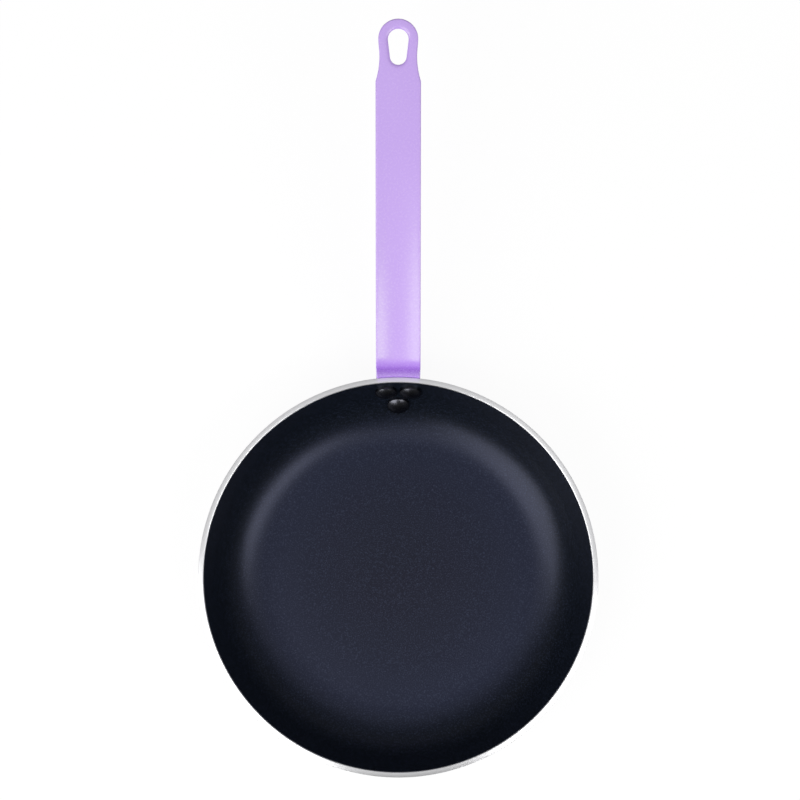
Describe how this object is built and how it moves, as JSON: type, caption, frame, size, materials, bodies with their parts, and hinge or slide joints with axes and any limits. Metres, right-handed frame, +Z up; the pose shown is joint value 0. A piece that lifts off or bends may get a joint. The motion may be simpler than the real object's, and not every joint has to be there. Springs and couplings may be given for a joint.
{
  "type": "frying pan",
  "caption": "Shallow round nonstick frying pan with flared aluminium walls, a bare metal lip, and a long flat riveted handle that ends in a teardrop hanging hole.",
  "frame": {"origin": "centre of the base's underside, on the surface that the pan stands on", "axes": "+Z up, +Y out along the handle, +X to the right seen from above with the handle pointing up the page"},
  "size_m": [0.2796, 0.5248, 0.1043],
  "materials": {
    "aluminium": "satin, turned",
    "nonstick": "satin with a fine grain",
    "lilac_coat": "semi-gloss powder coat",
    "black_rivet": "gloss"
  },
  "bodies": {
    "root": {"pan_body": "aluminium", "nonstick_coating": "nonstick", "handle": "lilac_coat", "rivet_left": "black_rivet", "rivet_right": "black_rivet", "rivet_lower": "black_rivet"}
  },
  "joints": []
}
